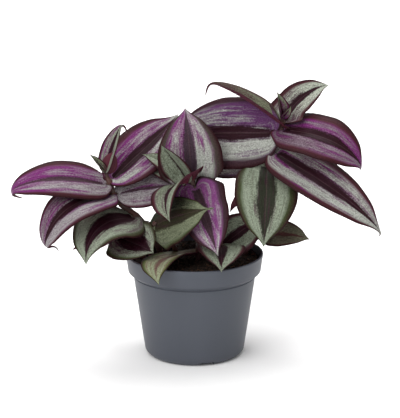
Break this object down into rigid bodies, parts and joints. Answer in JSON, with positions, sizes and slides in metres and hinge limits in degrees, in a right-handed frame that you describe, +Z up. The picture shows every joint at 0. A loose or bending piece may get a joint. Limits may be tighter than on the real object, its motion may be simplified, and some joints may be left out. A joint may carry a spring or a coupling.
{
  "type": "potted tradescantia",
  "caption": "Potted trailing house plant: striped oval leaves on arching stems that grow from soil in a small round nursery pot; stands on a shelf or sill as decoration.",
  "frame": {"origin": "middle of the pot's underside, on its central foot disc, where it stands on a flat surface", "axes": "+Z up out of the pot, -Y towards the viewer in the picture, +X to the viewer's right along the widest spread of the leaves"},
  "size_m": [0.2303, 0.1256, 0.1808],
  "materials": {
    "pot": "satin",
    "soil": "matte",
    "stems": "satin",
    "leaves": "satin"
  },
  "bodies": {
    "root": {"pot": "pot", "soil": "soil", "front_stem": "stems", "inner_stem": "stems", "left_stem": "stems", "low_left_stem": "stems", "low_right_stem": "stems", "middle_stem": "stems", "right_stem": "stems", "front_leaf_1": "leaves", "front_leaf_2": "leaves", "front_leaf_3": "leaves", "inner_leaf_1": "leaves", "left_bud": "leaves", "left_leaf_1": "leaves", "left_leaf_2": "leaves", "left_leaf_3": "leaves", "left_leaf_4": "leaves", "left_leaf_5": "leaves", "left_leaf_6": "leaves", "left_leaf_7": "leaves", "left_leaf_8": "leaves", "low_left_leaf_1": "leaves", "low_left_leaf_2": "leaves", "low_right_leaf_1": "leaves", "middle_bud": "leaves", "middle_leaf_1": "leaves", "middle_leaf_2": "leaves", "middle_leaf_3": "leaves", "middle_leaf_4": "leaves", "middle_leaf_5": "leaves", "middle_leaf_6": "leaves", "right_bud": "leaves", "right_leaf_1": "leaves", "right_leaf_10": "leaves", "right_leaf_11": "leaves", "right_leaf_2": "leaves", "right_leaf_3": "leaves", "right_leaf_4": "leaves", "right_leaf_5": "leaves", "right_leaf_6": "leaves", "right_leaf_7": "leaves", "right_leaf_8": "leaves", "right_leaf_9": "leaves"}
  },
  "joints": []
}
